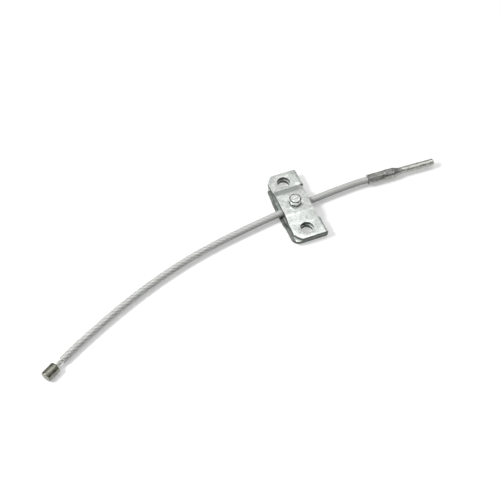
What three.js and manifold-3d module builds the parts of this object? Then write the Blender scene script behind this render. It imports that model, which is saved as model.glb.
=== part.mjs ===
import * as THREE from "three";
import { mergeVertices } from "three/addons/utils/BufferGeometryUtils.js";
import Module from "manifold-3d";

// A parking brake cable, in millimetres: a coated wire rope with a plain button
// on one end, a threaded terminal on the other and a clamp bracket between them.
// The origin is under the bracket's middle, on the surface that the part lies on.
// +Z is up, +Y runs from bolt hole to bolt hole, and the thread lies towards +X.

// Gap left between two pieces that touch or fit into each other
const FIT_GAP = 0.3;

// Wire rope and its nylon coat
const ROPE_DIAMETER = 4.2;
const COAT_WALL = 0.5;
const BARE_LENGTH = 7;
const CORD_SIDES = 10;
const CORD_STEP = 9;

// Button pressed on the rope's free end
const BUTTON_DIAMETER = 9.1;
const BUTTON_LENGTH = 11.6;
const BUTTON_EDGE = 0.7;
const BUTTON_GRIP = 9;

// Threaded terminal: crimped barrel, wrench flats, taper and stud
const BARREL_DIAMETER = 8.8;
const CRIMP_LENGTH = 14.7;
const CRIMP_ACROSS_FLATS = 8;
const WRENCH_LENGTH = 9.5;
const WRENCH_ACROSS_FLATS = 7.4;
const WRENCH_END_WALL = 1.5;
const BARREL_EDGE = 0.5;
const BARREL_GRIP = 19;
const TAPER_LENGTH = 5.5;
const STUD_DIAMETER = 6;
const STUD_LENGTH = 31;
const STUD_EDGE = 0.8;

// Clamp bracket: one sheet folded over into two layers at its +X side
const SHEET = 3;
const FOLD_SLIT = 0.3;
const BRACKET_LENGTH = 70;
const UPPER_EDGE_X = -12.8;
const LOWER_EDGE_X = -15;
const FOLD_X = 15.5;
const NOTCH_EDGE_X = 12.2;
const NOTCH_FLARE = 3.4;
const FOLD_CORNER = 1.2;
const RAISED_WIDTH = 20.4;
const BEND_ANGLE = THREE.MathUtils.degToRad(38);
const BEND_RADIUS = 1.5;
const CHAMFER_X = 5;
const CHAMFER_Y = 6;
const LOWER_CORNER_RADIUS = 6.5;
const HOLE_SPACING = 50.8;
const UPPER_HOLE_DIAMETER = 11;
const LOWER_HOLE_DIAMETER = 9.6;

// Hex screw that presses on the cable
const SCREW_DIAMETER = 6;
const HEAD_ACROSS_FLATS = 10;
const HEAD_HEIGHT = 4.8;
const HEAD_EDGE = 0.6;

// How finely round shapes are cut into facets, and how close two vertices are one
const ROUND_FACETS = 32;
const BEND_FACETS = 5;
const MERGE_DISTANCE = 1e-4;

// A length beyond every piece of the bracket, for cutting right through it
const FAR = 100;

// Sizes that follow from the ones above
const coatBore = ROPE_DIAMETER + 2 * FIT_GAP;
const coatDiameter = coatBore + 2 * COAT_WALL;
const channelHeight = coatDiameter + 2 * FIT_GAP;
const cordHeight = SHEET + channelHeight / 2;
const raisedTop = SHEET + channelHeight + SHEET;
const flangeTop = cordHeight + FOLD_SLIT / 2 + SHEET;
const buttonHeight = BUTTON_DIAMETER / 2;
const gripBore = ROPE_DIAMETER + 2 * FIT_GAP;

// The cable's ends, each with the heading that its fitting points in
const buttonShoulder = new THREE.Vector3(-225.5, -75.1, buttonHeight);
const buttonHeading = THREE.MathUtils.degToRad(212);
const terminalFace = new THREE.Vector3(68.3, 4.6, cordHeight);
const terminalHeading = THREE.MathUtils.degToRad(-2);

// The way the cable lies between the two fittings, from the photograph's curve:
// X, Y and how far its centre drops below its height in the bracket
const lyingRoute = [
  [-219.4, -71.3, 1.6],
  [-212.0, -66.9, 1.5],
  [-193.4, -56.7, 1.4],
  [-174.5, -47.2, 1.2],
  [-155.5, -38.4, 1.0],
  [-136.5, -30.6, 0.85],
  [-117.6, -23.8, 0.7],
  [-98.5, -18.0, 0.5],
  [-79.8, -13.4, 0.35],
  [-61.2, -9.6, 0.15],
  [-42.4, -6.4, 0],
  [-23.6, -3.5, 0],
  [0, -0.3, 0],
  [23.7, 2.3, 0],
  [42.6, 3.9, 0],
  [55.0, 4.6, 0],
  [62.3, 4.8, 0],
];

const wasm = await Module();
wasm.setup();

const materials = {
  rope: new THREE.MeshStandardMaterial({ color: 0x9a9c98, roughness: 0.35, metalness: 0.9 }),
  coat: new THREE.MeshStandardMaterial({ color: 0xc9cbc8, roughness: 0.25, metalness: 0 }),
  button: new THREE.MeshStandardMaterial({ color: 0x77776c, roughness: 0.4, metalness: 0.9 }),
  terminal: new THREE.MeshStandardMaterial({ color: 0x8f908a, roughness: 0.35, metalness: 0.9 }),
  zinc: new THREE.MeshStandardMaterial({ color: 0xc8ccc8, roughness: 0.4, metalness: 0.85 }),
  screw: new THREE.MeshStandardMaterial({ color: 0xb4b9b4, roughness: 0.35, metalness: 0.9 }),
};

// A closed geometry as a solid that can be joined and cut
function toSolid(geometry) {
  const bare = geometry.clone();
  bare.deleteAttribute("normal");
  bare.deleteAttribute("uv");
  const merged = mergeVertices(bare, MERGE_DISTANCE);
  const corners = merged.index.array;
  const triangles = [];
  for (let i = 0; i < corners.length; i += 3) {
    const [a, b, c] = corners.slice(i, i + 3);
    if (a !== b && b !== c && c !== a) {
      triangles.push(a, b, c);
    }
  }
  return new wasm.Manifold(new wasm.Mesh({
    numProp: 3,
    vertProperties: new Float32Array(merged.attributes.position.array),
    triVerts: new Uint32Array(triangles),
  }));
}

function toGeometry(solid) {
  const { vertProperties, triVerts } = solid.getMesh();
  const geometry = new THREE.BufferGeometry();
  geometry.setAttribute("position", new THREE.BufferAttribute(vertProperties, 3));
  geometry.setIndex(new THREE.BufferAttribute(triVerts, 1));
  geometry.computeVertexNormals();
  return geometry;
}

// The union of several solids
function joined(solids) {
  return solids.reduce((sum, solid) => sum.add(solid));
}

// An outline drawn in X and Y, made into a prism between two heights
function prism(shape, bottom, top) {
  const geometry = new THREE.ExtrudeGeometry(shape, {
    depth: top - bottom,
    bevelEnabled: false,
    curveSegments: ROUND_FACETS / 4,
  });
  return toSolid(geometry.translate(0, 0, bottom));
}

function polygon(points) {
  return new THREE.Shape(points.map(([x, y]) => new THREE.Vector2(x, y)));
}

// A solid turned about Z, from radii and heights that start and end on the axis
function turned(profile) {
  const points = profile.map(([radius, height]) => new THREE.Vector2(radius, height));
  const geometry = new THREE.LatheGeometry(points, ROUND_FACETS);
  return toSolid(geometry.rotateX(Math.PI / 2));
}

// A hexagonal prism on the Z axis, with two corners on the Y axis
function hexPrism(acrossFlats, bottom, top) {
  const cornerRadius = acrossFlats / Math.sqrt(3);
  const corners = [];
  for (let i = 0; i < 6; i++) {
    const angle = (i + 0.5) * Math.PI / 3;
    corners.push([cornerRadius * Math.cos(angle), cornerRadius * Math.sin(angle)]);
  }
  return prism(polygon(corners), bottom, top);
}

// A piece modelled along +Z is laid down, its base at a point and its top along a heading
function layAlong(mesh, base, heading) {
  const along = new THREE.Vector3(Math.cos(heading), Math.sin(heading), 0);
  const up = new THREE.Vector3(0, 0, 1);
  const side = new THREE.Vector3().crossVectors(up, along);
  const turn = new THREE.Matrix4().makeBasis(side, up, along);
  mesh.quaternion.setFromRotationMatrix(turn);
  mesh.position.copy(base);
  return mesh;
}

function namedMesh(name, geometry, material) {
  const mesh = new THREE.Mesh(geometry, material);
  mesh.name = name;
  return mesh;
}

// A point inside a fitting or outside it, at a distance along its heading
function pointAlong(base, heading, distance) {
  return new THREE.Vector3(Math.cos(heading), Math.sin(heading), 0)
    .multiplyScalar(distance)
    .add(base);
}

// The rope's centre line, from its end in the button to its end in the terminal
function ropeLine() {
  const points = [
    pointAlong(buttonShoulder, buttonHeading, BUTTON_GRIP - FIT_GAP),
    buttonShoulder,
    ...lyingRoute.map(([x, y, drop]) => new THREE.Vector3(x, y, cordHeight - drop)),
    terminalFace,
    pointAlong(terminalFace, terminalHeading, BARREL_GRIP - FIT_GAP),
  ];
  return new THREE.CatmullRomCurve3(points, false, "centripetal");
}

// A stretch of another curve, between two lengths along it
class Stretch extends THREE.Curve {
  constructor(whole, start, end) {
    super();
    this.whole = whole;
    this.start = start / whole.getLength();
    this.end = end / whole.getLength();
  }

  getPoint(share, target = new THREE.Vector3()) {
    const at = this.start + (this.end - this.start) * share;
    return this.whole.getPointAt(at, target);
  }
}

function ringOutline(diameter) {
  const corners = [];
  for (let i = 0; i < CORD_SIDES; i++) {
    const angle = i * 2 * Math.PI / CORD_SIDES;
    corners.push(new THREE.Vector2(Math.cos(angle), Math.sin(angle)).multiplyScalar(diameter / 2));
  }
  return corners;
}

// A tube or rod along a curve; a bore of 0 leaves it solid
function cordGeometry(curve, diameter, bore) {
  const section = new THREE.Shape(ringOutline(diameter));
  if (bore > 0) {
    section.holes.push(new THREE.Path(ringOutline(bore).reverse()));
  }
  return new THREE.ExtrudeGeometry(section, {
    steps: Math.round(curve.getLength() / CORD_STEP),
    extrudePath: curve,
  });
}

function wireRope(line) {
  return namedMesh("wire_rope", cordGeometry(line, ROPE_DIAMETER, 0), materials.rope);
}

function nylonJacket(line) {
  const start = BUTTON_GRIP - FIT_GAP + BARE_LENGTH;
  const end = line.getLength() - BARREL_GRIP;
  const stretch = new Stretch(line, start, end);
  return namedMesh("nylon_jacket", cordGeometry(stretch, coatDiameter, coatBore), materials.coat);
}

function endButton() {
  const radius = BUTTON_DIAMETER / 2;
  const bore = gripBore / 2;
  const blank = turned([
    [0, BUTTON_GRIP],
    [bore, BUTTON_GRIP],
    [bore, 0],
    [radius - BUTTON_EDGE, 0],
    [radius, BUTTON_EDGE],
    [radius, BUTTON_LENGTH - BUTTON_EDGE],
    [radius - BUTTON_EDGE, BUTTON_LENGTH],
    [0, BUTTON_LENGTH],
  ]);
  const mesh = namedMesh("end_button", toGeometry(blank), materials.button);
  return layAlong(mesh, buttonShoulder, buttonHeading);
}

// What is cut away to leave evenly spaced flats along one stretch of the barrel
function flatCutters(count, acrossFlats, bottom, top) {
  const cutters = [];
  for (let i = 0; i < count; i++) {
    const outline = polygon([
      [acrossFlats / 2, -BARREL_DIAMETER],
      [BARREL_DIAMETER, -BARREL_DIAMETER],
      [BARREL_DIAMETER, BARREL_DIAMETER],
      [acrossFlats / 2, BARREL_DIAMETER],
    ]);
    cutters.push(prism(outline, bottom, top).rotate([0, 0, 90 + i * 360 / count]));
  }
  return cutters;
}

function threadedTerminal() {
  const radius = BARREL_DIAMETER / 2;
  const studRadius = STUD_DIAMETER / 2;
  const bore = gripBore / 2;
  const barrelEnd = CRIMP_LENGTH + WRENCH_LENGTH;
  const studStart = barrelEnd + TAPER_LENGTH;
  const studEnd = studStart + STUD_LENGTH;
  const blank = turned([
    [0, BARREL_GRIP],
    [bore, BARREL_GRIP],
    [bore, 0],
    [radius - BARREL_EDGE, 0],
    [radius, BARREL_EDGE],
    [radius, barrelEnd],
    [studRadius, studStart],
    [studRadius, studEnd - STUD_EDGE],
    [studRadius - STUD_EDGE, studEnd],
    [0, studEnd],
  ]);
  const flatsStart = CRIMP_LENGTH + WRENCH_END_WALL;
  const flatsEnd = barrelEnd - WRENCH_END_WALL;
  const cutters = [
    ...flatCutters(6, CRIMP_ACROSS_FLATS, -BARREL_EDGE, CRIMP_LENGTH),
    ...flatCutters(2, WRENCH_ACROSS_FLATS, flatsStart, flatsEnd),
  ];
  const body = cutters.reduce((left, cutter) => left.subtract(cutter), blank);
  const mesh = namedMesh("threaded_terminal", toGeometry(body), materials.terminal);
  return layAlong(mesh, terminalFace, terminalHeading);
}

// Points of an arc in the plane of Y and Z, both ends included
function bendPoints(centreY, centreZ, radius, from, to) {
  const points = [];
  for (let i = 0; i <= BEND_FACETS; i++) {
    const angle = from + (to - from) * i / BEND_FACETS;
    points.push([centreY + radius * Math.cos(angle), centreZ + radius * Math.sin(angle)]);
  }
  return points;
}

// Where the raised middle's bend ends and the flange begins, along Y
function flangeStart() {
  const middleRadius = BEND_RADIUS + SHEET / 2;
  const rise = raisedTop - flangeTop;
  const straight = (rise - 2 * middleRadius * (1 - Math.cos(BEND_ANGLE))) / Math.sin(BEND_ANGLE);
  const run = 2 * middleRadius * Math.sin(BEND_ANGLE) + straight * Math.cos(BEND_ANGLE);
  return RAISED_WIDTH / 2 + run;
}

// Half of one face of the bent upper layer, from the middle out to the flange's end
function bentFace(outerRadius, innerRadius, endZ) {
  const up = Math.PI / 2;
  const outerZ = raisedTop - SHEET - BEND_RADIUS;
  const innerZ = flangeTop + BEND_RADIUS;
  return [
    ...bendPoints(RAISED_WIDTH / 2, outerZ, outerRadius, up, up - BEND_ANGLE),
    ...bendPoints(flangeStart(), innerZ, innerRadius, -up - BEND_ANGLE, -up),
    [BRACKET_LENGTH / 2 + SHEET, endZ],
  ];
}

// The upper layer's bent strip, or the lower one's, its mirror image at the cable's height
function bentStrip(side) {
  const top = bentFace(BEND_RADIUS + SHEET, BEND_RADIUS, flangeTop);
  const bottom = bentFace(BEND_RADIUS, BEND_RADIUS + SHEET, flangeTop - SHEET);
  const half = [...top, ...bottom.reverse()];
  const otherHalf = half.map(([y, z]) => [-y, z]).reverse();
  const outline = [...half, ...otherHalf].map(([y, z]) => [y, cordHeight + side * (z - cordHeight)]);
  const strip = new THREE.ExtrudeGeometry(polygon(outline), { depth: 2 * FAR, bevelEnabled: false });
  const turn = new THREE.Matrix4().makeBasis(
    new THREE.Vector3(0, 1, 0),
    new THREE.Vector3(0, 0, 1),
    new THREE.Vector3(1, 0, 0),
  );
  return toSolid(strip.applyMatrix4(turn).translate(-FAR, 0, 0));
}

function cutHoles(shape, diameter) {
  for (const side of [-1, 1]) {
    const hole = new THREE.Path();
    hole.absarc(0, side * HOLE_SPACING / 2, diameter / 2, 0, 2 * Math.PI, true);
    shape.holes.push(hole);
  }
}

// The upper layer seen from above, with cut corners, bolt holes and the screw's hole
function upperPlan(rightX) {
  const halfLength = BRACKET_LENGTH / 2;
  const plan = polygon([
    [UPPER_EDGE_X + CHAMFER_X, -halfLength],
    [rightX, -halfLength],
    [rightX, halfLength],
    [UPPER_EDGE_X + CHAMFER_X, halfLength],
    [UPPER_EDGE_X, halfLength - CHAMFER_Y],
    [UPPER_EDGE_X, CHAMFER_Y - halfLength],
  ]);
  cutHoles(plan, UPPER_HOLE_DIAMETER);
  const screwHole = new THREE.Path();
  screwHole.absarc(0, 0, SCREW_DIAMETER / 2 + FIT_GAP, 0, 2 * Math.PI, true);
  plan.holes.push(screwHole);
  return plan;
}

// The lower layer seen from above, with round corners and bolt holes
function lowerPlan(rightX) {
  const halfLength = BRACKET_LENGTH / 2;
  const roundX = LOWER_EDGE_X + LOWER_CORNER_RADIUS;
  const roundY = halfLength - LOWER_CORNER_RADIUS;
  const plan = new THREE.Shape();
  plan.moveTo(rightX, -halfLength);
  plan.lineTo(rightX, halfLength);
  plan.absarc(roundX, roundY, LOWER_CORNER_RADIUS, Math.PI / 2, Math.PI, false);
  plan.absarc(roundX, -roundY, LOWER_CORNER_RADIUS, Math.PI, 1.5 * Math.PI, false);
  plan.closePath();
  cutHoles(plan, LOWER_HOLE_DIAMETER);
  return plan;
}

// The metal that joins both layers along the folded side
function foldCore(centreX) {
  const halfLength = BRACKET_LENGTH / 2;
  const outline = polygon([
    [centreX, -halfLength],
    [FOLD_X + SHEET, -halfLength],
    [FOLD_X + SHEET, halfLength],
    [centreX, halfLength],
  ]);
  return prism(outline, cordHeight - SHEET / 2, cordHeight + SHEET / 2);
}

// Everything that lies inside the fold's round outer face
function foldRound(centreX) {
  const section = new THREE.Shape();
  section.moveTo(-FAR, -FAR);
  section.lineTo(centreX, -FAR);
  section.lineTo(centreX, -SHEET - FOLD_SLIT / 2);
  section.absarc(centreX, 0, SHEET + FOLD_SLIT / 2, -Math.PI / 2, Math.PI / 2, false);
  section.lineTo(centreX, FAR);
  section.lineTo(-FAR, FAR);
  section.closePath();
  const bar = new THREE.ExtrudeGeometry(section, {
    depth: 2 * FAR,
    bevelEnabled: false,
    curveSegments: ROUND_FACETS / 2,
  });
  return toSolid(bar.rotateX(Math.PI / 2).translate(0, FAR, cordHeight));
}

// What is cut from the folded side: the opening at the cable, and the flanges' outer corners
function foldCutters() {
  const start = flangeStart();
  const end = start + NOTCH_FLARE + FOLD_CORNER;
  const flareX = FOLD_X + FOLD_CORNER;
  const opening = polygon([
    [NOTCH_EDGE_X, -start],
    [flareX, -end],
    [flareX, end],
    [NOTCH_EDGE_X, start],
  ]);
  const halfLength = BRACKET_LENGTH / 2;
  const corners = [-1, 1].map((side) => {
    const points = [
      [FOLD_X - FOLD_CORNER, side * halfLength],
      [FOLD_X + FOLD_CORNER, side * (halfLength - 2 * FOLD_CORNER)],
      [FOLD_X + FOLD_CORNER, side * (halfLength + FOLD_CORNER)],
      [FOLD_X - FOLD_CORNER, side * (halfLength + FOLD_CORNER)],
    ];
    return polygon(side > 0 ? points : points.reverse());
  });
  return [opening, ...corners].map((outline) => prism(outline, -FAR, FAR));
}

function clampBracket() {
  const centreX = FOLD_X - SHEET - FOLD_SLIT / 2;
  const rightX = FOLD_X + SHEET;
  const upperLayer = bentStrip(1).intersect(prism(upperPlan(rightX), -FAR, FAR));
  const lowerLayer = bentStrip(-1).intersect(prism(lowerPlan(rightX), -FAR, FAR));
  let sheet = joined([upperLayer, lowerLayer, foldCore(centreX)]).intersect(foldRound(centreX));
  for (const cutter of foldCutters()) {
    sheet = sheet.subtract(cutter);
  }
  return namedMesh("clamp_bracket", toGeometry(sheet), materials.zinc);
}

// The hex screw, whose tip stops just above the cable's coat
function clampScrew() {
  const radius = SCREW_DIAMETER / 2;
  const tip = cordHeight + coatDiameter / 2 + FIT_GAP;
  const headBottom = raisedTop + FIT_GAP;
  const headTop = headBottom + HEAD_HEIGHT;
  const cornerRadius = HEAD_ACROSS_FLATS / Math.sqrt(3);
  const shankTop = headTop - HEAD_EDGE;
  const shank = turned([[0, tip], [radius, tip], [radius, shankTop], [0, shankTop]]);
  const roundOff = turned([
    [0, headBottom],
    [cornerRadius, headBottom],
    [cornerRadius, headTop - HEAD_EDGE],
    [HEAD_ACROSS_FLATS / 2 - HEAD_EDGE, headTop],
    [0, headTop],
  ]);
  const head = hexPrism(HEAD_ACROSS_FLATS, headBottom, headTop).intersect(roundOff);
  return namedMesh("clamp_screw", toGeometry(head.add(shank)), materials.screw);
}

const line = ropeLine();
const cable = new THREE.Group();
cable.add(
  wireRope(line),
  nylonJacket(line),
  endButton(),
  threadedTerminal(),
  clampBracket(),
  clampScrew(),
);

export default cable;
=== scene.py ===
import math
from bisect import bisect_right

import bmesh
import bpy
from bpy.props import FloatProperty, FloatVectorProperty, IntProperty, PointerProperty
from mathutils import Matrix, Vector


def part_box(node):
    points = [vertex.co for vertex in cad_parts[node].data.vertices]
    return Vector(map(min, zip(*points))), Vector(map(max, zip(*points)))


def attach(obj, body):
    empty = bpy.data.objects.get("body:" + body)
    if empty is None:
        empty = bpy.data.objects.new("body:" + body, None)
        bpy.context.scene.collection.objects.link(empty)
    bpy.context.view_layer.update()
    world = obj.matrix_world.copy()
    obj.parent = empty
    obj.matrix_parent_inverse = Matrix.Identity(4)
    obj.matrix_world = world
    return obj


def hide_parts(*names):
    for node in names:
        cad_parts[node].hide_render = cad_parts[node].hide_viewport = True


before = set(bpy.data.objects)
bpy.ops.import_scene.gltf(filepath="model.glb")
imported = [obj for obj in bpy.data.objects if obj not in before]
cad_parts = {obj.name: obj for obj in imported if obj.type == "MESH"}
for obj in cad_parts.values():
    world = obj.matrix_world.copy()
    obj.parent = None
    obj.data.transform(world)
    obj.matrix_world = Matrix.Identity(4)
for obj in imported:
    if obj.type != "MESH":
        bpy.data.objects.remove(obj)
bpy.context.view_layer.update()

bl_info = {
    "name": "Parking brake cable",
    "version": (1, 0, 0),
    "blender": (4, 5, 0),
    "location": "3D View > Sidebar > Brake cable",
    "description": "Dresses a coated brake cable, its end fittings and its clamp bracket",
    "category": "Add Mesh",
}

# The way the cable lies, in metres: from the button's shoulder to the terminal's face,
# X, Y and how far its centre drops below its height in the bracket
CORD_HEIGHT = 0.0062
LYING_ROUTE = [
    (-0.2194, -0.0713, 0.0016),
    (-0.2120, -0.0669, 0.0015),
    (-0.1934, -0.0567, 0.0014),
    (-0.1745, -0.0472, 0.0012),
    (-0.1555, -0.0384, 0.0010),
    (-0.1365, -0.0306, 0.00085),
    (-0.1176, -0.0238, 0.0007),
    (-0.0985, -0.0180, 0.0005),
    (-0.0798, -0.0134, 0.00035),
    (-0.0612, -0.0096, 0.00015),
    (-0.0424, -0.0064, 0.0),
    (-0.0236, -0.0035, 0.0),
    (0.0, -0.0003, 0.0),
    (0.0237, 0.0023, 0.0),
    (0.0426, 0.0039, 0.0),
    (0.0550, 0.0046, 0.0),
    (0.0623, 0.0048, 0.0),
]
BUTTON_SHOULDER = Vector((-0.2255, -0.0751, 0.00455))
BUTTON_HEADING = math.radians(212)
TERMINAL_FACE = Vector((0.0683, 0.0046, CORD_HEIGHT))
TERMINAL_HEADING = math.radians(-2)

# How far the rope's ends reach into the two fittings
BUTTON_REACH = 0.0087
TERMINAL_REACH = 0.0187
FIT_GAP = 0.0003

# Spacing along the cable of a strand's rings, the coat's rings and a cord path's points
STRAND_STEP = 0.0009
COAT_STEP = 0.0011
PATH_STEP = 0.008

UP = Vector((0, 0, 1))

# What every colour setting has in common
COLOUR = {"subtype": "COLOR", "min": 0, "max": 1}


class CableSettings(bpy.types.PropertyGroup):
    """Sizes and colours of the wire rope and its coat"""

    rope_diameter: FloatProperty(
        name="Rope diameter",
        description="Outer size of the wire rope",
        default=0.0042,
        unit="LENGTH",
    )
    outer_strands: IntProperty(
        name="Outer strands",
        description="Strands laid round the rope's core strand",
        default=6,
    )
    outer_wires: IntProperty(
        name="Outer wires",
        description="Wires laid round each strand's core wire",
        default=6,
    )
    rope_lay: FloatProperty(
        name="Rope lay",
        description="Length in which a strand goes once round the rope, to the right",
        default=0.0255,
        unit="LENGTH",
    )
    strand_lay: FloatProperty(
        name="Strand lay",
        description="Length in which a wire goes once round its strand, to the left",
        default=0.0105,
        unit="LENGTH",
    )
    coat_diameter: FloatProperty(
        name="Coat diameter",
        description="Outer size of the nylon coat",
        default=0.0058,
        unit="LENGTH",
    )
    coat_wall: FloatProperty(
        name="Coat wall",
        description="Thickness of the nylon coat",
        default=0.0005,
        unit="LENGTH",
    )
    bare_length: FloatProperty(
        name="Bare length",
        description="Rope that shows between the button and the coat",
        default=0.007,
        unit="LENGTH",
    )
    wire_colour: FloatVectorProperty(
        name="Wire colour",
        description="Colour of the galvanised wires",
        default=(0.74, 0.75, 0.72),
        **COLOUR,
    )
    coat_colour: FloatVectorProperty(
        name="Coat colour",
        description="Colour of the clear, whitish nylon",
        default=(0.92, 0.93, 0.91),
        **COLOUR,
    )
    # Painted shade: the coat is painted this darker grey towards the terminal, standing in for the
    # duller light on that stretch
    painted_shade_colour: FloatVectorProperty(
        name="Milky colour",
        description="Colour of the nylon where it is milky",
        default=(0.52, 0.53, 0.51),
        **COLOUR,
    )


class FittingSettings(bpy.types.PropertyGroup):
    """Sizes and colours of the button and the threaded terminal"""

    button_diameter: FloatProperty(
        name="Button diameter",
        description="Outer size of the button",
        default=0.0091,
        unit="LENGTH",
    )
    button_length: FloatProperty(
        name="Button length",
        description="Length of the button along the rope",
        default=0.0114,
        unit="LENGTH",
    )
    button_edge: FloatProperty(
        name="Button edge",
        description="Size of the button's rounded edges",
        default=0.0007,
        unit="LENGTH",
    )
    barrel_diameter: FloatProperty(
        name="Barrel diameter",
        description="Outer size of the terminal's barrel",
        default=0.0088,
        unit="LENGTH",
    )
    crimp_length: FloatProperty(
        name="Crimp length",
        description="Length of the barrel that is pressed to a hexagon",
        default=0.0147,
        unit="LENGTH",
    )
    crimp_across: FloatProperty(
        name="Crimp across flats",
        description="Size of the pressed hexagon",
        default=0.008,
        unit="LENGTH",
    )
    wrench_length: FloatProperty(
        name="Wrench stretch",
        description="Length of the round stretch that has two flats for a wrench",
        default=0.0095,
        unit="LENGTH",
    )
    wrench_across: FloatProperty(
        name="Wrench flats",
        description="Distance between the two flats",
        default=0.0074,
        unit="LENGTH",
    )
    taper_length: FloatProperty(
        name="Taper length",
        description="Length of the taper between barrel and stud",
        default=0.0055,
        unit="LENGTH",
    )
    stud_diameter: FloatProperty(
        name="Stud diameter",
        description="Outer size of the thread",
        default=0.006,
        unit="LENGTH",
    )
    stud_length: FloatProperty(
        name="Stud length",
        description="Length of the threaded stud",
        default=0.031,
        unit="LENGTH",
    )
    thread_pitch: FloatProperty(
        name="Thread pitch",
        description="Distance from one thread crest to the next",
        default=0.001,
        unit="LENGTH",
    )
    button_colour: FloatVectorProperty(
        name="Button colour",
        description="Colour of the olive grey steel",
        default=(0.22, 0.22, 0.185),
        **COLOUR,
    )
    terminal_colour: FloatVectorProperty(
        name="Terminal colour",
        description="Colour of the grey plated steel",
        default=(0.38, 0.385, 0.36),
        **COLOUR,
    )


class BracketSettings(bpy.types.PropertyGroup):
    """Edges and colours of the clamp bracket and its screw"""

    edge_round: FloatProperty(
        name="Edge rounding",
        description="Size of the rounding on the sheet's cut edges",
        default=0.00045,
        unit="LENGTH",
    )
    step_angle: FloatProperty(
        name="Step angle",
        description="Slope of the sheet between its raised middle and its flanges",
        default=math.radians(24),
        subtype="ANGLE",
    )
    zinc_colour: FloatVectorProperty(
        name="Zinc colour",
        description="Colour of the bracket's bright zinc",
        default=(0.81, 0.85, 0.82),
        **COLOUR,
    )
    # Partly the sheared edges' own duller colour and partly painted shade: walls and hole walls
    # are painted near black, darker than sheared steel, standing in for the shade they reflect
    wall_shade_colour: FloatVectorProperty(
        name="Wall colour",
        description="Colour of the sheet's dull, sheared walls",
        default=(0.13, 0.14, 0.13),
        **COLOUR,
    )
    # Painted shade: the lower layer's strip beside the upper layer is painted darker, standing in
    # for the shade that the upper layer casts on it
    margin_shade_colour: FloatVectorProperty(
        name="Margin colour",
        description="Colour of the duller zinc beside the upper layer",
        default=(0.22, 0.235, 0.22),
        **COLOUR,
    )
    screw_colour: FloatVectorProperty(
        name="Screw colour",
        description="Colour of the screw's bright zinc",
        default=(0.84, 0.87, 0.83),
        **COLOUR,
    )


class StageSettings(bpy.types.PropertyGroup):
    """The camera's place and the light"""

    azimuth: FloatProperty(
        name="Azimuth",
        description="Turn of the camera round the part",
        default=math.radians(-21.2),
        subtype="ANGLE",
    )
    elevation: FloatProperty(
        name="Elevation",
        description="Height of the camera above the horizon",
        default=math.radians(54),
        subtype="ANGLE",
    )
    distance: FloatProperty(
        name="Distance",
        description="Distance from the camera to the point that it looks at",
        default=0.9037,
        unit="LENGTH",
    )
    lens: FloatProperty(
        name="Lens",
        description="Focal length in millimetres on a 36 mm sensor",
        default=80,
    )
    key_power: FloatProperty(
        name="Key light",
        description="Power of the soft light on the left, in watts",
        default=13,
    )
    ceiling_power: FloatProperty(
        name="Ceiling light",
        description="Power of the broad light overhead, in watts",
        default=2.2,
    )
    strip_power: FloatProperty(
        name="Strip lights",
        description="Power of the far one of two narrow lights overhead, in watts",
        default=0.45,
    )
    floor_colour: FloatVectorProperty(
        name="Floor colour",
        description="Colour of the plain floor",
        default=(0.76, 0.76, 0.76),
        **COLOUR,
    )


def heading_vector(heading):
    return Vector((math.cos(heading), math.sin(heading), 0))


def leave_edit_mode():
    bpy.ops.object.mode_set(mode="OBJECT")


def deselect_all():
    if bpy.context.object and bpy.context.object.mode != "OBJECT":
        leave_edit_mode()
    bpy.ops.object.select_all(action="DESELECT")


def make_active(piece):
    deselect_all()
    piece.select_set(True)
    bpy.context.view_layer.objects.active = piece


def enter_edit_mode(piece, select="SELECT"):
    """Edit mode on one piece, with all or nothing of its mesh selected"""
    make_active(piece)
    bpy.ops.object.mode_set(mode="EDIT")
    bpy.ops.mesh.select_all(action=select)


def select_parts(piece, kind, wanted):
    """Enter edit mode with only the wanted faces (FACE) or edges (EDGE) selected"""
    enter_edit_mode(piece, "DESELECT")
    bpy.ops.mesh.select_mode(type=kind)
    mesh = bmesh.from_edit_mesh(piece.data)
    for each in mesh.faces if kind == "FACE" else mesh.edges:
        each.select = wanted(each)
    mesh.select_flush_mode()
    bmesh.update_edit_mesh(piece.data)


def split_faces(piece, point, normal):
    """A line of new edges across all faces where a plane meets them"""
    enter_edit_mode(piece)
    bpy.ops.mesh.bisect(plane_co=point, plane_no=normal)
    leave_edit_mode()


def apply_place(piece):
    """Bring the piece's place and turn into its mesh"""
    make_active(piece)
    bpy.ops.object.transform_apply(location=True, rotation=True, scale=True)


def linked_object(name, data):
    piece = bpy.data.objects.new(name, data)
    bpy.context.scene.collection.objects.link(piece)
    return piece


def mesh_piece(name, vertices, faces, loop_uvs):
    """A new object from vertices and faces, with a UV for each face corner"""
    mesh = bpy.data.meshes.new(name)
    mesh.from_pydata(vertices, [], faces)
    layer = mesh.uv_layers.new(name="along_and_round")
    for loop, uv in zip(layer.data, loop_uvs):
        loop.uv = uv
    mesh.validate()
    return linked_object(name, mesh)


def smooth(piece, angle=35):
    make_active(piece)
    bpy.ops.object.shade_smooth_by_angle(angle=math.radians(angle))


def rope_route():
    """The points that the rope's centre passes, from inside the button to inside the terminal"""
    along_button = heading_vector(BUTTON_HEADING)
    along_terminal = heading_vector(TERMINAL_HEADING)
    lying = [Vector((x, y, CORD_HEIGHT - drop)) for x, y, drop in LYING_ROUTE]
    return [
        BUTTON_SHOULDER + along_button * BUTTON_REACH,
        BUTTON_SHOULDER,
        *lying,
        TERMINAL_FACE,
        TERMINAL_FACE + along_terminal * TERMINAL_REACH,
    ]


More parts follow.
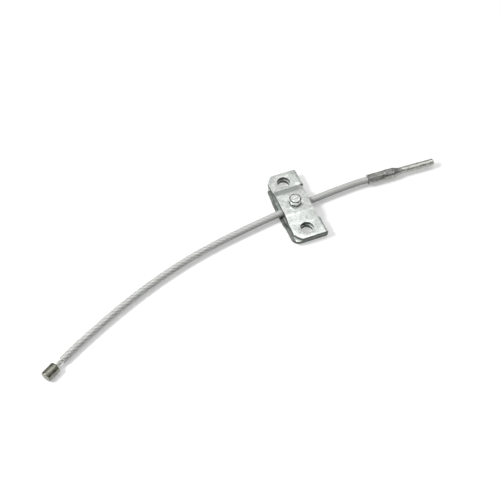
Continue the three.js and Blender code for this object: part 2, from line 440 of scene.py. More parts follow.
def curve_segment(before, start, end, after, share):
    """A point on the smooth curve between start and end, from its neighbours' places"""
    gap_before = math.sqrt((start - before).length)
    gap = math.sqrt((end - start).length)
    gap_after = math.sqrt((after - end).length)
    leave = (start - before) / gap_before - (end - before) / (gap_before + gap)
    leave += (end - start) / gap
    arrive = (end - start) / gap - (after - start) / (gap + gap_after)
    arrive += (after - end) / gap_after
    leave *= gap
    arrive *= gap
    square = 3 * (end - start) - 2 * leave - arrive
    cube = 2 * (start - end) + leave + arrive
    return start + leave * share + square * share**2 + cube * share**3


def smooth_line(route, splits=24):
    """Many points on one smooth curve through the route's points"""
    padded = [2 * route[0] - route[1], *route, 2 * route[-1] - route[-2]]
    line = []
    for i in range(len(route) - 1):
        for j in range(splits):
            line.append(curve_segment(*padded[i : i + 4], j / splits))
    line.append(route[-1])
    return line


class Centreline:
    """A line measured along its length"""

    def __init__(self, points):
        self.points = points
        self.lengths = [0.0]
        for a, b in zip(points, points[1:]):
            self.lengths.append(self.lengths[-1] + (b - a).length)
        self.length = self.lengths[-1]

    def place(self, distance):
        """The point at a distance along the line, and the line's direction there"""
        distance = min(max(distance, 0), self.length)
        i = min(bisect_right(self.lengths, distance), len(self.points) - 1) - 1
        a, b = self.points[i], self.points[i + 1]
        share = (distance - self.lengths[i]) / (self.lengths[i + 1] - self.lengths[i])
        return a.lerp(b, share), self._direction(i, share)

    def _direction(self, i, share):
        last = len(self.points) - 1
        here = self.points[min(i + 1, last)] - self.points[max(i - 1, 0)]
        there = self.points[min(i + 2, last)] - self.points[max(i, 0)]
        return here.normalized().lerp(there.normalized(), share).normalized()

    def stretch(self, start, end, step):
        """Evenly spaced distances from start to end"""
        count = max(1, round((end - start) / step))
        return [start + (end - start) * i / count for i in range(count + 1)]


def swept_rings(rings, uvs_along, closed_ends=True):
    """Vertices, faces and UVs of a skin over equal rings of points"""
    sides = len(rings[0])
    vertices = [point for ring in rings for point in ring]
    faces = []
    loop_uvs = []
    for i in range(len(rings) - 1):
        for j in range(sides):
            k = (j + 1) % sides
            near, far = i * sides, (i + 1) * sides
            faces.append((near + j, near + k, far + k, far + j))
            a, b = uvs_along[i], uvs_along[i + 1]
            u, v = j / sides, (j + 1) / sides
            loop_uvs += [(a, u), (a, v), (b, v), (b, u)]
    if closed_ends:
        first = tuple(reversed(range(sides)))
        last = tuple(range((len(rings) - 1) * sides, len(rings) * sides))
        faces += [first, last]
        loop_uvs += [(uvs_along[0], j / sides) for j in first]
        loop_uvs += [(uvs_along[-1], j / sides) for j in range(sides)]
    return vertices, faces, loop_uvs


def rope_axes(direction):
    """Two directions square to the rope: sideways and upwards"""
    side = direction.cross(UP).normalized()
    return side, side.cross(direction).normalized()


def ring_round(line, distance, sides, radius_at):
    """Points round the line at a distance; radius_at(distance, angle) says how far out"""
    point, direction = line.place(distance)
    side, up = rope_axes(direction)
    ring = []
    for j in range(sides):
        angle = -2 * math.pi * j / sides
        outward = side * math.cos(angle) + up * math.sin(angle)
        ring.append(point + outward * radius_at(distance, angle))
    return ring


def strand_rings(line, cable, index, distances):
    """Rings of one outer strand, whose outline shows its wires"""
    strand_radius = cable.rope_diameter / 6
    circle_radius = cable.rope_diameter / 2 - strand_radius
    corners = 3 * cable.outer_wires
    furrow = 0.14
    centres = []
    outwards = []
    for distance in distances:
        point, direction = line.place(distance)
        side, up = rope_axes(direction)
        turn = -2 * math.pi * (distance / cable.rope_lay + index / cable.outer_strands)
        outward = side * math.cos(turn) + up * math.sin(turn)
        centres.append(point + outward * circle_radius)
        outwards.append(outward)
    rings = []
    for i, distance in enumerate(distances):
        ahead = centres[min(i + 1, len(centres) - 1)] - centres[max(i - 1, 0)]
        across = ahead.normalized().cross(outwards[i]).normalized()
        wire_turn = 2 * math.pi * distance / cable.strand_lay
        ring = []
        for j in range(corners):
            angle = -2 * math.pi * j / corners
            lobe = abs(math.cos((angle - wire_turn) * cable.outer_wires / 2))
            radius = strand_radius * (1 - furrow + furrow * lobe)
            spoke = outwards[i] * math.cos(angle) - across * math.sin(angle)
            ring.append(centres[i] + spoke * radius)
        rings.append(ring)
    return rings


def fill(links, socket, value):
    """A socket takes a constant, or a link from another node's output"""
    if isinstance(value, bpy.types.NodeSocket):
        links.new(value, socket)
    else:
        socket.default_value = value


def new_node(tree, kind, output, inputs, **settings):
    """The output of a new node with these settings and inputs"""
    node = tree.nodes.new("ShaderNode" + kind)
    for name, value in settings.items():
        setattr(node, name, value)
    for name, value in inputs.items():
        fill(tree.links, node.inputs[name], value)
    return node.outputs[output]


def scaled(colour, factor):
    return tuple(min(1.0, part * factor) for part in colour)


class Surface:
    """A material that is being laid out, and the kinds of node that it needs"""

    def __init__(self, name):
        self.material = bpy.data.materials.new(name)
        self.material.use_nodes = True
        self.tree = self.material.node_tree
        self.place = new_node(self.tree, "TexCoord", "Object", {})

    def finish(self, **inputs):
        """Fill the Principled shader's inputs"""
        shader = self.tree.nodes["Principled BSDF"]
        for name, value in inputs.items():
            fill(self.tree.links, shader.inputs[name.replace("_", " ")], value)
        return self.material

    def noise(self, vector, scale, detail=3.0, roughness=0.5):
        inputs = {"Vector": vector, "Scale": scale, "Detail": detail, "Roughness": roughness}
        return new_node(self.tree, "TexNoise", "Fac", inputs)

    def mapping(self, vector, scale=(1, 1, 1), rotation=(0, 0, 0)):
        inputs = {"Vector": vector, "Scale": scale, "Rotation": rotation}
        return new_node(self.tree, "Mapping", "Vector", inputs)

    def remap(self, value, low, high, from_low=0.3, from_high=0.7):
        inputs = {
            "Value": value,
            "From Min": from_low,
            "From Max": from_high,
            "To Min": low,
            "To Max": high,
        }
        return new_node(self.tree, "MapRange", "Result", inputs)

    def calculate(self, operation, first, second=None):
        inputs = {0: first} if second is None else {0: first, 1: second}
        return new_node(self.tree, "Math", "Value", inputs, operation=operation)

    def mix(self, kind, share, first, second):
        """FLOAT or RGBA values, from the first at share 0 to the second at share 1"""
        inputs = {"Factor": share, "A": first, "B": second}
        return new_node(self.tree, "Mix", "Result", inputs, data_type=kind)

    def shades(self, share, colour, dark, light):
        """A colour that varies between its dark and its light multiple"""
        dark_shade, light_shade = scaled(colour, dark), scaled(colour, light)
        return self.mix("RGBA", share, (*dark_shade, 1), (*light_shade, 1))

    def bump(self, height, distance, **under):
        """Relief as deep as distance; Normal may be the relief that lies under it"""
        inputs = {"Height": height, "Distance": distance, **under}
        return new_node(self.tree, "Bump", "Normal", inputs)


def wire_material(colour):
    """Galvanised wire: bright, with dull patches"""
    surface = Surface("galvanised_wire")
    patches = surface.noise(surface.place, 900)
    return surface.finish(
        Base_Color=surface.shades(patches, colour, 0.7, 1.2),
        Roughness=surface.remap(patches, 0.22, 0.38),
        Metallic=0.9,
    )


def nylon_material(cable, length):
    """Whitish nylon: the strands show through it, with painted shade in stripes over them, and
    towards the terminal it is painted a darker grey and made less clear, as painted shade
    """
    surface = Surface("clear_nylon")
    place = surface.place
    uv = new_node(surface.tree, "TexCoord", "UV", {})
    along = new_node(surface.tree, "SeparateXYZ", "X", {"Vector": uv})
    round_share = along.node.outputs["Y"]
    # Painted shade: stripes that follow the outer strands' lay make the coat darker where a strand
    # lies under it, standing in for the rope seen through the coat
    lays = surface.calculate("DIVIDE", along, cable.rope_lay)
    turns = surface.calculate("SUBTRACT", round_share, lays)
    angle = surface.calculate("MULTIPLY", turns, 2 * math.pi * cable.outer_strands)
    strand_shade_stripes = surface.remap(surface.calculate("COSINE", angle), 0.1, 0.9, 1.0, -0.6)
    fine_streaks = surface.noise(surface.mapping(place, scale=(0.35, 0.35, 1.0)), 1500, detail=2)
    streaks = surface.calculate("ADD", strand_shade_stripes, fine_streaks)
    share = surface.remap(streaks, 0, 1, 0.5, 1.4)
    clear = surface.shades(share, cable.coat_colour, 0.68, 1.07)
    # Painted shade: from half to most of the length, towards the terminal, the coat turns to the
    # darker painted shade colour and lets less light through
    painted_shade = surface.remap(along, 0, 1, 0.5 * length, 0.78 * length)
    return surface.finish(
        Base_Color=surface.mix("RGBA", painted_shade, clear, (*cable.painted_shade_colour, 1)),
        Roughness=surface.remap(surface.noise(place, 700), 0.1, 0.2),
        Transmission_Weight=surface.remap(painted_shade, 0.55, 0.06, 0, 1),
        IOR=1.53,
    )


def turned_steel_material(name, colour, heading, roughness=0.34):
    """Turned steel: fine marks round the axis that lies along the heading, and dull patches"""
    surface = Surface(name)
    along = surface.mapping(surface.place, rotation=(0, 0, -heading))
    marks = surface.noise(surface.mapping(along, scale=(1.0, 0.06, 0.06)), 5200, detail=2)
    patches = surface.noise(surface.place, 420)
    share = surface.remap(patches, 0, 1, 0.35, 0.65)
    return surface.finish(
        Base_Color=surface.shades(share, colour, 0.8, 1.2),
        Roughness=surface.remap(patches, roughness - 0.07, roughness + 0.1),
        Normal=surface.bump(marks, 0.00002),
        Metallic=0.9,
    )


def zinc_material(name, colour, roughness=0.34, depth=0.00006):
    """Bright zinc on rolled sheet: crystal patches, soft mottling and fine scratches"""
    surface = Surface(name)
    place = surface.place
    cells = new_node(surface.tree, "TexVoronoi", "Distance", {"Vector": place, "Scale": 700})
    mottle = surface.noise(place, 330, detail=4, roughness=0.6)
    share = surface.remap(surface.mix("FLOAT", 0.25, mottle, cells), 0, 1, 0.34, 0.62)
    scratches = surface.noise(surface.mapping(place, scale=(1.0, 0.08, 1.0)), 2600, detail=2)
    dents = surface.bump(mottle, depth)
    return surface.finish(
        Base_Color=surface.shades(share, colour, 0.74, 1.14),
        Roughness=surface.remap(mottle, roughness + 0.07, roughness - 0.05),
        Normal=surface.bump(scratches, 0.000012, Normal=dents),
        Metallic=0.8,
    )


def sheared_and_shaded_material(name, colour):
    """A sheared wall: dull, with grooves that run through the sheet; its dark colour is partly the
    sheared steel's own and partly painted shade
    """
    surface = Surface(name)
    patches = surface.noise(surface.place, 500)
    share = surface.remap(patches, 0, 1, 0.35, 0.65)
    upright = surface.mapping(surface.place, scale=(1.0, 1.0, 0.12))
    return surface.finish(
        Base_Color=surface.shades(share, colour, 0.7, 1.25),
        Roughness=surface.remap(patches, 0.42, 0.6),
        Normal=surface.bump(surface.noise(upright, 2400, detail=2), 0.00004),
        Metallic=0.8,
    )


def finish_piece(piece, materials, node):
    """Every finished piece rides on the part, stands for its CAD node and has its materials"""
    indices = [face.material_index for face in piece.data.polygons]
    piece.data.materials.clear()
    for material in materials:
        piece.data.materials.append(material)
    piece.data.polygons.foreach_set("material_index", indices)
    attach(piece, "root")
    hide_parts(node)


class BRAKECABLE_OT_lay_rope(bpy.types.Operator):
    """Lay the wire rope's strands along the cable's route"""

    bl_idname = "brakecable.lay_rope"
    bl_label = "Lay wire rope"

    def execute(self, context):
        cable = context.scene.cable_settings
        line = Centreline(smooth_line(rope_route()))
        distances = line.stretch(0, line.length, STRAND_STEP)
        skins = []
        for index in range(cable.outer_strands):
            skins.append((strand_rings(line, cable, index, distances), distances))
        core_radius = cable.rope_diameter / 6
        core_rings = [ring_round(line, d, 8, lambda *at: core_radius) for d in distances[::6]]
        skins.append((core_rings, distances[::6]))
        vertices, faces, loop_uvs = [], [], []
        for rings, along in skins:
            skin = swept_rings(rings, along)
            faces += [tuple(len(vertices) + corner for corner in face) for face in skin[1]]
            vertices += skin[0]
            loop_uvs += skin[2]
        rope = mesh_piece("rope_strands", vertices, faces, loop_uvs)
        smooth(rope, 60)
        finish_piece(rope, [wire_material(cable.wire_colour)], "wire_rope")
        [line.place(d)[0] for d in reversed(line.stretch(0, line.length, PATH_STEP))]
        return {"FINISHED"}


class BRAKECABLE_OT_coat_rope(bpy.types.Operator):
    """Draw the clear nylon coat over the rope"""

    bl_idname = "brakecable.coat_rope"
    bl_label = "Coat rope"

    def execute(self, context):
        cable = context.scene.cable_settings
        line = Centreline(smooth_line(rope_route()))
        start = BUTTON_REACH + cable.bare_length
        end = line.length - TERMINAL_REACH - FIT_GAP
        distances = line.stretch(start, end, COAT_STEP)
        outer = cable.coat_diameter / 2
        inner = outer - cable.coat_wall
        ripple = 0.00004
        sides = 36

        def skin_radius(distance, angle):
            phase = cable.outer_strands * (angle + 2 * math.pi * distance / cable.rope_lay)
            return outer - ripple + ripple * math.cos(phase)

        rings = [ring_round(line, d, sides, skin_radius) for d in distances]
        bores = [ring_round(line, d, sides, lambda *at: inner) for d in reversed(distances)]
        all_rings = [*rings, *bores, rings[0]]
        along = [*distances, *reversed(distances), start]
        vertices, faces, loop_uvs = swept_rings(all_rings, along, closed_ends=False)
        coat = mesh_piece("nylon_coat", vertices, faces, loop_uvs)
        enter_edit_mode(coat)
        bpy.ops.mesh.remove_doubles(threshold=0.000001)
        leave_edit_mode()
        smooth(coat, 50)
        finish_piece(coat, [nylon_material(cable, end)], "nylon_jacket")
        [line.place(d)[0] for d in reversed(line.stretch(start, end, PATH_STEP))]
        return {"FINISHED"}


def move_along(piece, start, direction):
    """Turn a piece that was made along Z, and apply its place to its mesh"""
    side = UP.cross(direction).normalized()
    up = direction.cross(side)
    turn = Matrix((side, up, direction)).transposed().to_4x4()
    piece.matrix_world = Matrix.Translation(start) @ turn
    apply_place(piece)


def round_bar(name, radius, length, sides):
    """A closed round bar that stands on the XY plane"""
    deselect_all()
    bpy.ops.mesh.primitive_cylinder_add(
        vertices=sides, radius=radius, depth=length, location=(0, 0, length / 2)
    )
    piece = bpy.context.object
    piece.name = name
    piece.data.name = name
    apply_place(piece)
    return piece


def is_cap(height, normal):
    """A test for the flat face at a height that looks up (1) or down (-1)"""

    def test(face):
        level = abs(face.calc_center_median().z - height) < 1e-6
        return level and face.normal.z * normal > 0.99

    return test


def is_rim(height, radius):
    """A test for the edges of a circle at a height"""

    def test(edge):
        a, b = (vertex.co for vertex in edge.verts)
        level = abs(a.z - height) < 1e-6 and abs(b.z - height) < 1e-6
        return level and abs(a.xy.length - radius) < 1e-5 and abs(b.xy.length - radius) < 1e-5

    return test


def bore_end(piece, outer, bore, depth):
    """Sink a round bore into the face at height 0"""
    select_parts(piece, "FACE", is_cap(0, -1))
    bpy.ops.mesh.inset(thickness=outer - bore, depth=0)
    bpy.ops.mesh.extrude_region_move(TRANSFORM_OT_translate={"value": (0, 0, depth)})
    leave_edit_mode()


def round_rim(piece, height, radius, size, segments=4):
    select_parts(piece, "EDGE", is_rim(height, radius))
    bpy.ops.mesh.bevel(offset=size, segments=segments, affect="EDGES")
    leave_edit_mode()


def grow_end(piece, start, steps):
    """Lengthen the bar from height start by steps of a height and a share of the last radius"""
    height = start
    for next_height, share in steps:
        select_parts(piece, "FACE", is_cap(height, 1))
        rise = {"value": (0, 0, next_height - height)}
        bpy.ops.mesh.extrude_region_move(TRANSFORM_OT_translate=rise)
        bpy.ops.transform.resize(value=(share, share, 1))
        leave_edit_mode()
        height = next_height


def press_flats(piece, start, end, half_across, normals):
    """Push the skin between two heights back to flats that face along the normals"""
    for vertex in piece.data.vertices:
        inside = min(vertex.co.z - start, end - vertex.co.z)
        if inside < -1e-7 or vertex.co.xy.length < half_across * 0.8:
            continue
        for normal in normals:
            over = vertex.co.x * math.cos(normal) + vertex.co.y * math.sin(normal) - half_across
            if over > 0:
                vertex.co.x -= over * math.cos(normal)
                vertex.co.y -= over * math.sin(normal)


class BRAKECABLE_OT_press_button(bpy.types.Operator):
    """Turn the steel button and bore it for the rope"""

    bl_idname = "brakecable.press_button"
    bl_label = "Turn button"

    def execute(self, context):
        sizes = context.scene.fitting_settings
        radius = sizes.button_diameter / 2
        bore = context.scene.cable_settings.rope_diameter / 2 + FIT_GAP
        button = round_bar("button_body", radius, sizes.button_length, 72)
        bore_end(button, radius, bore, BUTTON_REACH + FIT_GAP)
        round_rim(button, 0, radius, sizes.button_edge)
        round_rim(button, sizes.button_length, radius, sizes.button_edge)
        round_rim(button, 0, bore, 0.0003, 2)
        move_along(button, BUTTON_SHOULDER, heading_vector(BUTTON_HEADING))
        smooth(button)
        finish_piece(
            button,
            [turned_steel_material("olive_steel", sizes.button_colour, BUTTON_HEADING, 0.24)],
            "end_button",
        )
        return {"FINISHED"}


class BRAKECABLE_OT_turn_terminal(bpy.types.Operator):
    """Press the terminal's barrel on the cable and cut its stud's thread"""

    bl_idname = "brakecable.turn_terminal"
    bl_label = "Press terminal"

    def execute(self, context):
        sizes = context.scene.fitting_settings
        self._press_barrel(sizes, context.scene.cable_settings)
        self._cut_stud(sizes)
        return {"FINISHED"}

    def _press_barrel(self, sizes, cable):
        radius = sizes.barrel_diameter / 2
        crimp_end = sizes.crimp_length
        barrel_end = crimp_end + sizes.wrench_length
        taper_end = barrel_end + sizes.taper_length
        unpressed = 0.0015
        wrench_start, wrench_end = crimp_end + unpressed, barrel_end - unpressed
        thread_root = sizes.stud_diameter / 2 - 0.00035
        first_height = 0.0004
        heights = [0.0011, *(crimp_end * i / 12 for i in range(2, 12))]
        heights += [crimp_end, crimp_end + 0.0007, wrench_start, wrench_start + 0.0003]
        heights += [wrench_end - 0.0003, wrench_end, barrel_end - 0.0005]
        steps = [(height, 1.0) for height in heights]
        shoulder = [(barrel_end - 0.00015, 0.985), (barrel_end + 0.0003, 0.955)]
        steps += shoulder
        steps += [(taper_end, thread_root / (radius * shoulder[0][1] * shoulder[1][1]))]
        steps += [(taper_end + 0.0015, 1.0)]
        barrel = round_bar("terminal_barrel", radius, first_height, 96)
        grow_end(barrel, first_height, steps)
        mouth_rim, mouth_edge = 0.00025, 0.0003
        select_parts(barrel, "FACE", is_cap(0, -1))
        bpy.ops.mesh.inset(thickness=mouth_rim, depth=0)
        leave_edit_mode()
        bore_radius = cable.rope_diameter / 2 + FIT_GAP
        bore_end(barrel, radius - mouth_rim, bore_radius, TERMINAL_REACH + FIT_GAP)
        for vertex in barrel.data.vertices:
            if vertex.co.z < 1e-6 and vertex.co.xy.length > radius - 0.0001:
                vertex.co.z = mouth_edge
        hexagon = [math.radians(90 + 60 * i) for i in range(6)]
        press_flats(barrel, 0.001, crimp_end, sizes.crimp_across / 2, hexagon)
        opposite = [math.radians(90), math.radians(270)]
        wrench = (wrench_start + 0.0002, wrench_end - 0.0002)
        press_flats(barrel, *wrench, sizes.wrench_across / 2, opposite)
        move_along(barrel, TERMINAL_FACE, heading_vector(TERMINAL_HEADING))
        smooth(barrel, 28)
        material = turned_steel_material("terminal_steel", sizes.terminal_colour, TERMINAL_HEADING)
        finish_piece(barrel, [material], "threaded_terminal")

    def _cut_stud(self, sizes):
        radius = sizes.stud_diameter / 2
        length = sizes.stud_length
        pitch = sizes.thread_pitch
        stud = round_bar("threaded_stud", radius, length, 48)

        def climbs(edge):
            return abs(edge.verts[0].co.z - edge.verts[1].co.z) > 1e-6

        for cuts in (99, 4):
            select_parts(stud, "EDGE", climbs)
            bpy.ops.mesh.subdivide(number_cuts=cuts)
            leave_edit_mode()
        depth = 0.24 * pitch
        run_out = 0.0022
        chamfer = 0.0008
        for vertex in stud.data.vertices:
            distance = vertex.co.xy.length
            if distance < radius * 0.5:
                continue
            turn = math.atan2(vertex.co.y, vertex.co.x) / (2 * math.pi)
            phase = (vertex.co.z / pitch - turn) % 1.0
            groove = 0.5 + 0.5 * math.cos(2 * math.pi * (phase - 0.5))
            cut = min(1.0, max(0.0, vertex.co.z / run_out))
            tip = length - vertex.co.z
            wanted = min(radius - depth * groove * cut, radius - max(0.0, chamfer - tip))
            vertex.co.xy *= wanted / distance
        face_distance = sizes.crimp_length + sizes.wrench_length + sizes.taper_length
        heading = heading_vector(TERMINAL_HEADING)
        move_along(stud, TERMINAL_FACE + heading * face_distance, heading)
        smooth(stud, 32)
        colour = scaled(sizes.terminal_colour, 1.25)
        material = turned_steel_material("thread_steel", colour, TERMINAL_HEADING, 0.44)
        finish_piece(stud, [material], "threaded_terminal")


def copy_of_node(node, name):
    """A merged copy of a CAD node's mesh, with its flat faces whole again"""
    mesh = bpy.data.objects[node].data.copy()
    mesh.name = name
    piece = linked_object(name, mesh)
    enter_edit_mode(piece)
    bpy.ops.mesh.remove_doubles(threshold=0.000002)
    bpy.ops.mesh.dissolve_limited(angle_limit=math.radians(0.5))
    leave_edit_mode()
    return piece


class SheetBend:
    """The middle line of the sheet's step, from the raised top down to the flange

    Along is measured on the middle line from the start of the upper bend, and off is how
    far a point lies above that line."""

    radius = 0.003
    rise = 0.00305

    def __init__(self, angle):
        self.angle = angle
        self.bend = self.radius * angle
        self.slope = (self.rise - 2 * self.radius * (1 - math.cos(angle))) / math.sin(angle)
        self.run = 2 * self.radius * math.sin(angle) + self.slope * math.cos(angle)

    def knots(self):
        return [0.0, self.bend, self.bend + self.slope, 2 * self.bend + self.slope]

    def locate(self, out, height):
        """Along and off for a point that lies out from the bend and at a height from its line"""
        turn = self.angle
        if out <= 0:
            return out, height
        if math.atan2(out, height + self.radius) <= turn:
            reach = math.hypot(out, height + self.radius)
            return self.radius * math.atan2(out, height + self.radius), reach - self.radius
        ahead = out - self.radius * math.sin(turn)
        above = height + self.radius * (1 - math.cos(turn))
        along = ahead * math.cos(turn) - above * math.sin(turn)
        if along <= self.slope:
            return self.bend + along, ahead * math.sin(turn) + above * math.cos(turn)
        back, under = self.run - out, self.radius - self.rise - height
        if back <= 0:
            return self.knots()[3] - back, height + self.rise
        left = math.atan2(back, under)
        return self.knots()[3] - self.radius * left, self.radius - math.hypot(back, under)

    def place(self, along, off):
        """The point that lies at these measures: how far out, and its height from the line"""
        knots = self.knots()
        if along <= 0:
            return along, off
        if along <= knots[1]:
            turn = along / self.radius
            reach = self.radius + off
            return reach * math.sin(turn), reach * math.cos(turn) - self.radius
        if along <= knots[2]:
            turn = self.angle
            reach = self.radius + off
            start = (reach * math.sin(turn), reach * math.cos(turn) - self.radius)
            ahead = along - knots[1]
            return start[0] + ahead * math.cos(turn), start[1] - ahead * math.sin(turn)
        if along <= knots[3]:
            left = (knots[3] - along) / self.radius
            reach = self.radius - off
            out = self.run - reach * math.sin(left)
            return out, self.radius - self.rise - reach * math.cos(left)
        return self.run + along - knots[3], off - self.rise


def ease_step(bracket, raised_half, layer_height, angle_before, angle_after):
    """Lean the step's slopes back to a smaller angle; the holes and the ends stay in place

    The raised top reaches raised_half to both sides, with its middle line layer_height above
    the cable's centre. Everything is in its old place again at the distance settled."""
    before, after = SheetBend(angle_before), SheetBend(angle_after)
    old, new = before.knots(), after.knots()
    settled = 0.0092
    for vertex in bracket.data.vertices:
        side = 1 if vertex.co.y > 0 else -1
        layer = 1 if vertex.co.z > CORD_HEIGHT else -1
        out = abs(vertex.co.y) - raised_half
        height = layer * (vertex.co.z - CORD_HEIGHT) - layer_height
        if out <= 0 or out >= settled:
            continue
        along, off = before.locate(out, height)
        for i in range(3):
            if old[i] <= along <= old[i + 1]:
                share = (along - old[i]) / (old[i + 1] - old[i])
                along = new[i] + share * (new[i + 1] - new[i])
                break
        else:
            share = (out - before.run) / (settled - before.run)
            along = new[3] + share * (settled - after.run)
        out, height = after.place(along, off)
        vertex.co.y = side * (raised_half + out)
        vertex.co.z = CORD_HEIGHT + layer * (height + layer_height)


class BRAKECABLE_OT_finish_bracket(bpy.types.Operator):
    """Ease the folded sheet's step, cut its corner, round its edges, plate it with zinc and paint
    shade on its walls and on the lower layer's margin
    """

    bl_idname = "brakecable.finish_bracket"
    bl_label = "Fold bracket"

    def execute(self, context):
        sizes = context.scene.bracket_settings
        bracket = copy_of_node("clamp_bracket", "folded_bracket")
        low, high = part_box("clamp_bracket")
        margin_edge = -0.01285
        cut_start = 0.0235
        split_faces(bracket, (margin_edge, 0, 0), (1, 0, 0))
        split_faces(bracket, (0, cut_start, 0), (0, 1, 0))
        self._cut_corner(bracket, low.x, cut_start, high.y)
        ease_step(
            bracket,
            raised_half=0.0102,
            layer_height=0.0047,
            angle_before=math.radians(38),
            angle_after=sizes.step_angle,
        )
        rounding = bracket.modifiers.new("rounding", "BEVEL")
        rounding.width = sizes.edge_round
        rounding.segments = 3
        rounding.limit_method = "ANGLE"
        rounding.angle_limit = math.radians(35)
        rounding.use_clamp_overlap = True
        make_active(bracket)
        bpy.ops.object.modifier_apply(modifier=rounding.name)
        smooth(bracket, 30)
        fold_start = 0.0126
        for face in bracket.data.polygons:
            centre, normal = face.center, face.normal
            on_fold = centre.x > fold_start and normal.x > 0.02 and abs(normal.y) < 0.3
            # Painted shade: every steep wall, holes included, takes the dark wall colour, which
            # stands in for shade as well as for duller sheared steel
            is_wall = abs(normal.z) < 0.55
            if is_wall and not on_fold:
                face.material_index = 1
            # Painted shade: the lower layer's faces left of the upper layer's edge take the darker
            # margin colour
            elif centre.x < margin_edge and centre.z < CORD_HEIGHT:
                face.material_index = 2
        finishes = [
            zinc_material("bright_zinc", sizes.zinc_colour),
            sheared_and_shaded_material("sheared_shaded_wall", sizes.wall_shade_colour),
            zinc_material("shaded_margin_zinc", sizes.margin_shade_colour, 0.42),
        ]
        finish_piece(bracket, finishes, "clamp_bracket")
        return {"FINISHED"}

    def _cut_corner(self, bracket, left, start, end):
        """Bring the lower layer's far left corner back to one long straight cut"""
        cut_depth = 0.0055
        for vertex in bracket.data.vertices:
            if vertex.co.z < CORD_HEIGHT and vertex.co.y > start:
                limit = left + cut_depth * (vertex.co.y - start) / (end - start)
                vertex.co.x = max(vertex.co.x, limit)


class BRAKECABLE_OT_finish_screw(bpy.types.Operator):
    """Shape the clamp screw's chamfered hexagon head, with painted shade on its base and its
    chamfer
    """

    bl_idname = "brakecable.finish_screw"
    bl_label = "Set screw"

    def execute(self, context):
        sizes = context.scene.bracket_settings
        low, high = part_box("clamp_screw")
        head_height, hairline = 0.0048, 0.00002
        head_base = high.z - head_height - FIT_GAP + hairline
        across_flats = (high.x - low.x) * 0.94
        head = self._shape_head(across_flats, high.z - head_base)
        shank_radius, inside_head = 0.0029, 0.0005
        shank = round_bar("screw_shank", shank_radius, head_base - low.z + inside_head, 48)
        round_rim(shank, 0, shank_radius, 0.0004, 2)
        middle = (low + high) / 2
        for piece, height in ((head, head_base), (shank, low.z)):
            piece.matrix_world = Matrix.Translation((middle.x, middle.y, height))
            apply_place(piece)
        # Painted shade: the head's lowest 1.5 mm and its chamfer take a dark material, standing in
        # for the shadow at its base and a dark rim reflected at its top
        shade_band_top = head_base + 0.0015
        split_faces(head, (0, 0, shade_band_top), (0, 0, 1))
        for face in head.data.polygons:
            chamfer = 0.3 < face.normal.z < 0.97
            face.material_index = 1 if face.center.z < shade_band_top or chamfer else 0
        smooth(shank, 30)
        smooth(head, 25)
        plated = zinc_material("screw_zinc", sizes.screw_colour, 0.24, 0.0005)
        walls = sheared_and_shaded_material("screw_shade_band", scaled(sizes.wall_shade_colour, 0.6))
        finish_piece(head, [plated, walls], "clamp_screw")
        finish_piece(shank, [plated], "clamp_screw")
        return {"FINISHED"}

    def _shape_head(self, across, height):
        """A bar pressed to a hexagon, with blunt corners and a chamfer down from its crown"""
        half = across / 2
        head = round_bar("screw_head", half, height, 72)
        select_parts(head, "FACE", is_cap(height, 1))
        bpy.ops.mesh.inset(thickness=across * 0.07, depth=0)
        bpy.ops.mesh.inset(thickness=across * 0.05, depth=0)
        leave_edit_mode()
        select_parts(head, "FACE", is_cap(0, -1))
        bpy.ops.mesh.inset(thickness=across * 0.03, depth=0)
        leave_edit_mode()
        crown, corner_limit = half * 0.86, half * 1.09
        chamfer_slope = math.tan(math.radians(22))
        sixth = math.pi / 3
        for vertex in head.data.vertices:
            radius = vertex.co.xy.length
            if radius < half - 1e-6:
                continue
            angle = math.atan2(vertex.co.y, vertex.co.x)
            corner = half / math.cos((angle + sixth / 2) % sixth - sixth / 2)
            reach = min(corner, corner_limit)
            vertex.co.xy *= reach / radius
            if vertex.co.z > height / 2:
                vertex.co.z = height - (reach - crown) * chamfer_slope
        return head


def floor_material(colour):
    """A plain floor that shows white, with the part's shadow on it, and bounces little light"""
    surface = Surface("pale_floor")
    rays = surface.tree.nodes.new("ShaderNodeLightPath").outputs
    straight = surface.calculate("MAXIMUM", rays["Is Camera Ray"], rays["Is Transmission Ray"])
    seen = surface.calculate("MAXIMUM", straight, rays["Is Glossy Ray"])
    return surface.finish(
        Base_Color=surface.shades(seen, colour, 0.36, 1.0),
        Roughness=surface.remap(surface.noise(surface.place, 30), 0.86, 0.94),
        Emission_Color=(1, 1, 1, 1),
        Emission_Strength=surface.calculate("MULTIPLY", seen, 0.3),
    )


def soft_world():
    """An even room that is brightest overhead and dark near the horizon"""
    world = bpy.data.worlds.new("soft_room")
    bpy.context.scene.world = world
    world.use_nodes = True
    tree = world.node_tree
    direction = new_node(tree, "TexCoord", "Generated", {})
    both = {0: direction, 1: (0.03, 0.10, 0.99)}
    lean = new_node(tree, "VectorMath", "Value", both, operation="DOT_PRODUCT")
    ramp = tree.nodes.new("ShaderNodeValToRGB")
    stops = ramp.color_ramp.elements
    stops[0].position, stops[0].color = 0.05, (0.04, 0.04, 0.04, 1)
    stops[1].position, stops[1].color = 0.95, (0.62, 0.62, 0.62, 1)
    for position, level in [(0.4, 0.14), (0.7, 0.56)]:
        stop = stops.new(position)
        stop.color = (level, level, level, 1)
    tree.links.new(lean, ramp.inputs["Fac"])
    tree.links.new(ramp.outputs["Color"], tree.nodes["Background"].inputs["Color"])


def soft_lamp(name, target, offset, size, power):
    """A rectangular lamp that faces the target from an offset"""
    data = bpy.data.lights.new(name, "AREA")
    data.shape = "RECTANGLE"
    data.size, data.size_y = size
    data.energy = power
    lamp = linked_object(name, data)
    lamp.location = target + offset
    lamp.rotation_euler = (-offset).to_track_quat("-Z", "Y").to_euler()


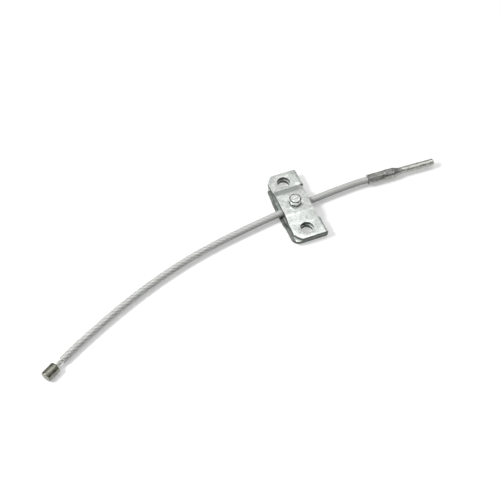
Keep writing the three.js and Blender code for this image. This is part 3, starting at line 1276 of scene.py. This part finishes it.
class BRAKECABLE_OT_set_stage(bpy.types.Operator):
    """Place the camera, the floor and the soft lights"""

    bl_idname = "brakecable.set_stage"
    bl_label = "Set stage"

    def execute(self, context):
        stage = context.scene.stage_settings
        context.scene.view_settings.view_transform = "Standard"
        self._place_camera(context.scene, stage)
        self._lay_floor(stage)
        soft_world()
        middle = Vector((-0.05, -0.02, 0))
        lamps = [
            ("key_light", (-0.86, 0.09, 0.97), (0.32, 0.32), stage.key_power),
            ("ceiling_light", (0.09, 0.24, 1.2), (0.9, 0.75), stage.ceiling_power),
            ("near_strip", (-0.16, -0.42, 1.05), (0.7, 0.08), stage.strip_power * 0.4),
            ("far_strip", (0.08, 0.21, 1.15), (0.8, 0.04), stage.strip_power),
        ]
        for name, offset, size, power in lamps:
            soft_lamp(name, middle, Vector(offset), size, power)
        return {"FINISHED"}

    def _place_camera(self, scene, stage):
        aim = Vector((-0.0492, -0.0238, 0))
        level = math.cos(stage.elevation)
        away = Vector(
            (
                math.sin(stage.azimuth) * level,
                -math.cos(stage.azimuth) * level,
                math.sin(stage.elevation),
            )
        )
        lens = bpy.data.cameras.new("photo_camera")
        lens.lens = stage.lens
        lens.sensor_width = 36
        lens.clip_start = 0.01
        camera = linked_object("photo_camera", lens)
        camera.location = aim + away * stage.distance
        camera.rotation_euler = (math.pi / 2 - stage.elevation, 0, stage.azimuth)
        scene.camera = camera

    def _lay_floor(self, stage):
        deselect_all()
        drop = 0.00005
        bpy.ops.mesh.primitive_plane_add(size=6, location=(0, 0, -drop))
        floor = bpy.context.object
        floor.name = "pale_floor"
        apply_place(floor)
        floor.data.materials.append(floor_material(stage.floor_colour))


STEPS = [
    BRAKECABLE_OT_set_stage,
    BRAKECABLE_OT_press_button,
    BRAKECABLE_OT_turn_terminal,
    BRAKECABLE_OT_lay_rope,
    BRAKECABLE_OT_coat_rope,
    BRAKECABLE_OT_finish_bracket,
    BRAKECABLE_OT_finish_screw,
]


class BRAKECABLE_PT_steps(bpy.types.Panel):
    """The steps that dress the brake cable"""

    bl_label = "Brake cable"
    bl_space_type = "VIEW_3D"
    bl_region_type = "UI"
    bl_category = "Brake cable"

    def draw(self, context):
        for step in STEPS:
            self.layout.operator(step.bl_idname)
        for name in SETTINGS:
            settings = getattr(context.scene, name)
            box = self.layout.box()
            for setting in settings.__annotations__:
                box.prop(settings, setting)


SETTINGS = {
    "cable_settings": CableSettings,
    "fitting_settings": FittingSettings,
    "bracket_settings": BracketSettings,
    "stage_settings": StageSettings,
}
CLASSES = [*SETTINGS.values(), *STEPS, BRAKECABLE_PT_steps]


def register():
    for each in CLASSES:
        bpy.utils.register_class(each)
    for name, group in SETTINGS.items():
        setattr(bpy.types.Scene, name, PointerProperty(type=group))


def unregister():
    for name in SETTINGS:
        delattr(bpy.types.Scene, name)
    for each in reversed(CLASSES):
        bpy.utils.unregister_class(each)


def main():
    register()
    bpy.ops.brakecable.set_stage()
    bpy.ops.brakecable.press_button()
    bpy.ops.brakecable.turn_terminal()
    bpy.ops.brakecable.lay_rope()
    bpy.ops.brakecable.coat_rope()
    bpy.ops.brakecable.finish_bracket()
    bpy.ops.brakecable.finish_screw()


if __name__ == "__main__":
    main()
